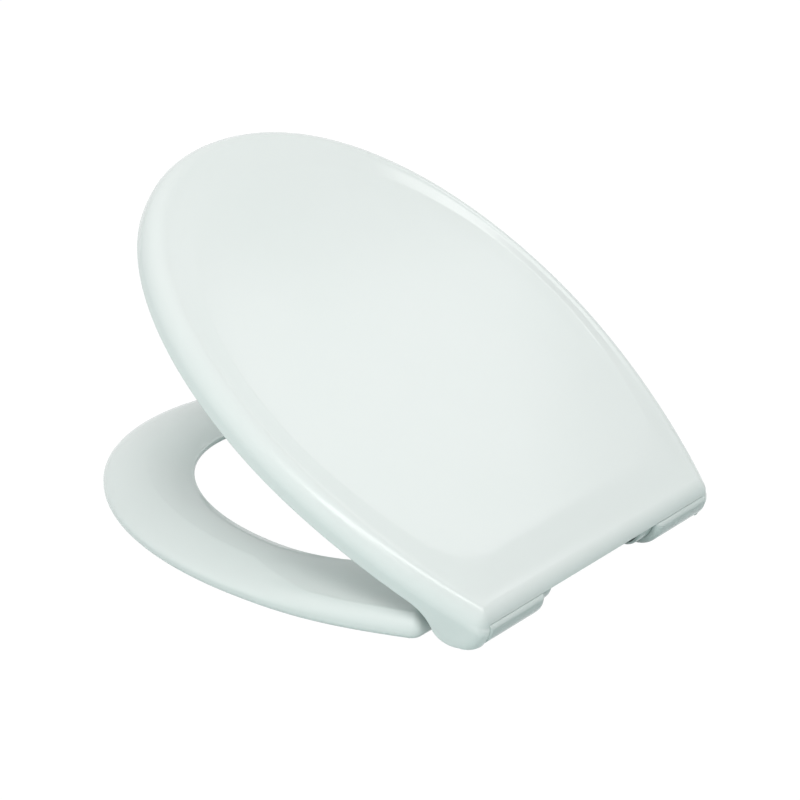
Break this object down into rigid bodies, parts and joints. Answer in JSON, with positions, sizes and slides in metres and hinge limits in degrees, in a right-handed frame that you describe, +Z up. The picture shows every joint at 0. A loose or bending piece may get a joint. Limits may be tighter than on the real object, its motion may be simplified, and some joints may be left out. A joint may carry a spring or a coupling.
{
  "type": "toilet seat",
  "caption": "Toilet seat with a dished ring and a rolled-edge lid standing half open on a friction hinge that bolts to the pan.",
  "frame": {"origin": "on the pan's rim, midway between the two fixing holes", "axes": "+Z up, -Y towards the front of the seat, +X to the seat's right as seen from its front"},
  "size_m": [0.376, 0.4433, 0.2637],
  "materials": {
    "lid_plastic": "high gloss moulded white with a cool tint",
    "ring_plastic": "high gloss moulded white with a cool tint",
    "hinge_plastic": "gloss moulded white",
    "bush_plastic": "natural moulded acetal",
    "buffer_rubber": "matte moulded rubber",
    "pin_steel": "ground stainless steel"
  },
  "bodies": {
    "hinge_base": {"hinge_bracket_left": "hinge_plastic", "hinge_pin_left": "pin_steel", "foot_pad_left": "buffer_rubber", "hinge_bracket_right": "hinge_plastic", "hinge_pin_right": "pin_steel", "foot_pad_right": "buffer_rubber"},
    "seat": {"seat_ring": "ring_plastic", "seat_bush_left": "bush_plastic", "seat_buffer_front_left": "buffer_rubber", "seat_buffer_rear_left": "buffer_rubber", "seat_bush_right": "bush_plastic", "seat_buffer_front_right": "buffer_rubber", "seat_buffer_rear_right": "buffer_rubber"},
    "lid": {"lid_cover": "lid_plastic", "friction_sleeve_left": "bush_plastic", "hinge_housing_left": "hinge_plastic", "housing_screws_left": "pin_steel", "lid_buffer_front_left": "buffer_rubber", "lid_buffer_rear_left": "buffer_rubber", "friction_sleeve_right": "bush_plastic", "hinge_housing_right": "hinge_plastic", "housing_screws_right": "pin_steel", "lid_buffer_front_right": "buffer_rubber", "lid_buffer_rear_right": "buffer_rubber"}
  },
  "joints": [
    {"name": "seat_hinge", "type": "hinge", "parent": "hinge_base", "child": "seat", "pos_m": [0, 0.026, 0.0254], "axis": [-1, 0, 0], "range_deg": [0, 95]},
    {"name": "lid_hinge", "type": "hinge", "parent": "seat", "child": "lid", "pos_m": [0, 0.026, 0.0254], "axis": [-1, 0, 0], "range_deg": [-32.5, 67.5]}
  ]
}
